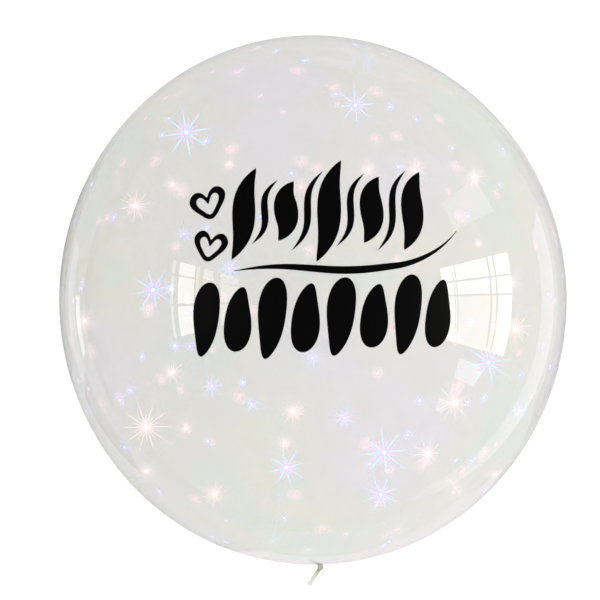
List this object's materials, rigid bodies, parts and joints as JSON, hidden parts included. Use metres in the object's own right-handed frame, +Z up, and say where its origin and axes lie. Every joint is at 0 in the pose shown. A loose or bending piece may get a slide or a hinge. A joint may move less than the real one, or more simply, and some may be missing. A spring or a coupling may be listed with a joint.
{
  "type": "bubble balloon",
  "caption": "Clear film bubble balloon, blown tight into a slightly long ball with a short knotted neck, a row of black vinyl strokes and outline hearts on its front, lying on its back",
  "frame": {"origin": "Middle of the flat spot that the balloon rests on when it lies on its back", "axes": "+Y runs along the balloon from its knotted neck to its crown, +Z is up and out of the printed front, +X is to the right as the print is read"},
  "size_m": [0.5598, 0.6078, 0.5575],
  "materials": {
    "clear_film": "clear glossy stretched plastic film",
    "black_vinyl": "semi-gloss cut vinyl"
  },
  "bodies": {
    "root": {"film_bubble": "clear_film", "vinyl_heart_upper": "black_vinyl", "vinyl_heart_lower": "black_vinyl", "vinyl_leaf_1": "black_vinyl", "vinyl_leaf_2": "black_vinyl", "vinyl_leaf_3": "black_vinyl", "vinyl_leaf_4": "black_vinyl", "vinyl_leaf_5": "black_vinyl", "vinyl_hairline_1": "black_vinyl", "vinyl_hairline_2": "black_vinyl", "vinyl_hairline_3": "black_vinyl", "vinyl_hairline_4": "black_vinyl", "vinyl_swash": "black_vinyl", "vinyl_dab_1": "black_vinyl", "vinyl_dab_2": "black_vinyl", "vinyl_dab_3": "black_vinyl", "vinyl_dab_4": "black_vinyl", "vinyl_dab_5": "black_vinyl", "vinyl_dab_6": "black_vinyl", "vinyl_dab_7": "black_vinyl", "vinyl_dab_8": "black_vinyl"}
  },
  "joints": []
}
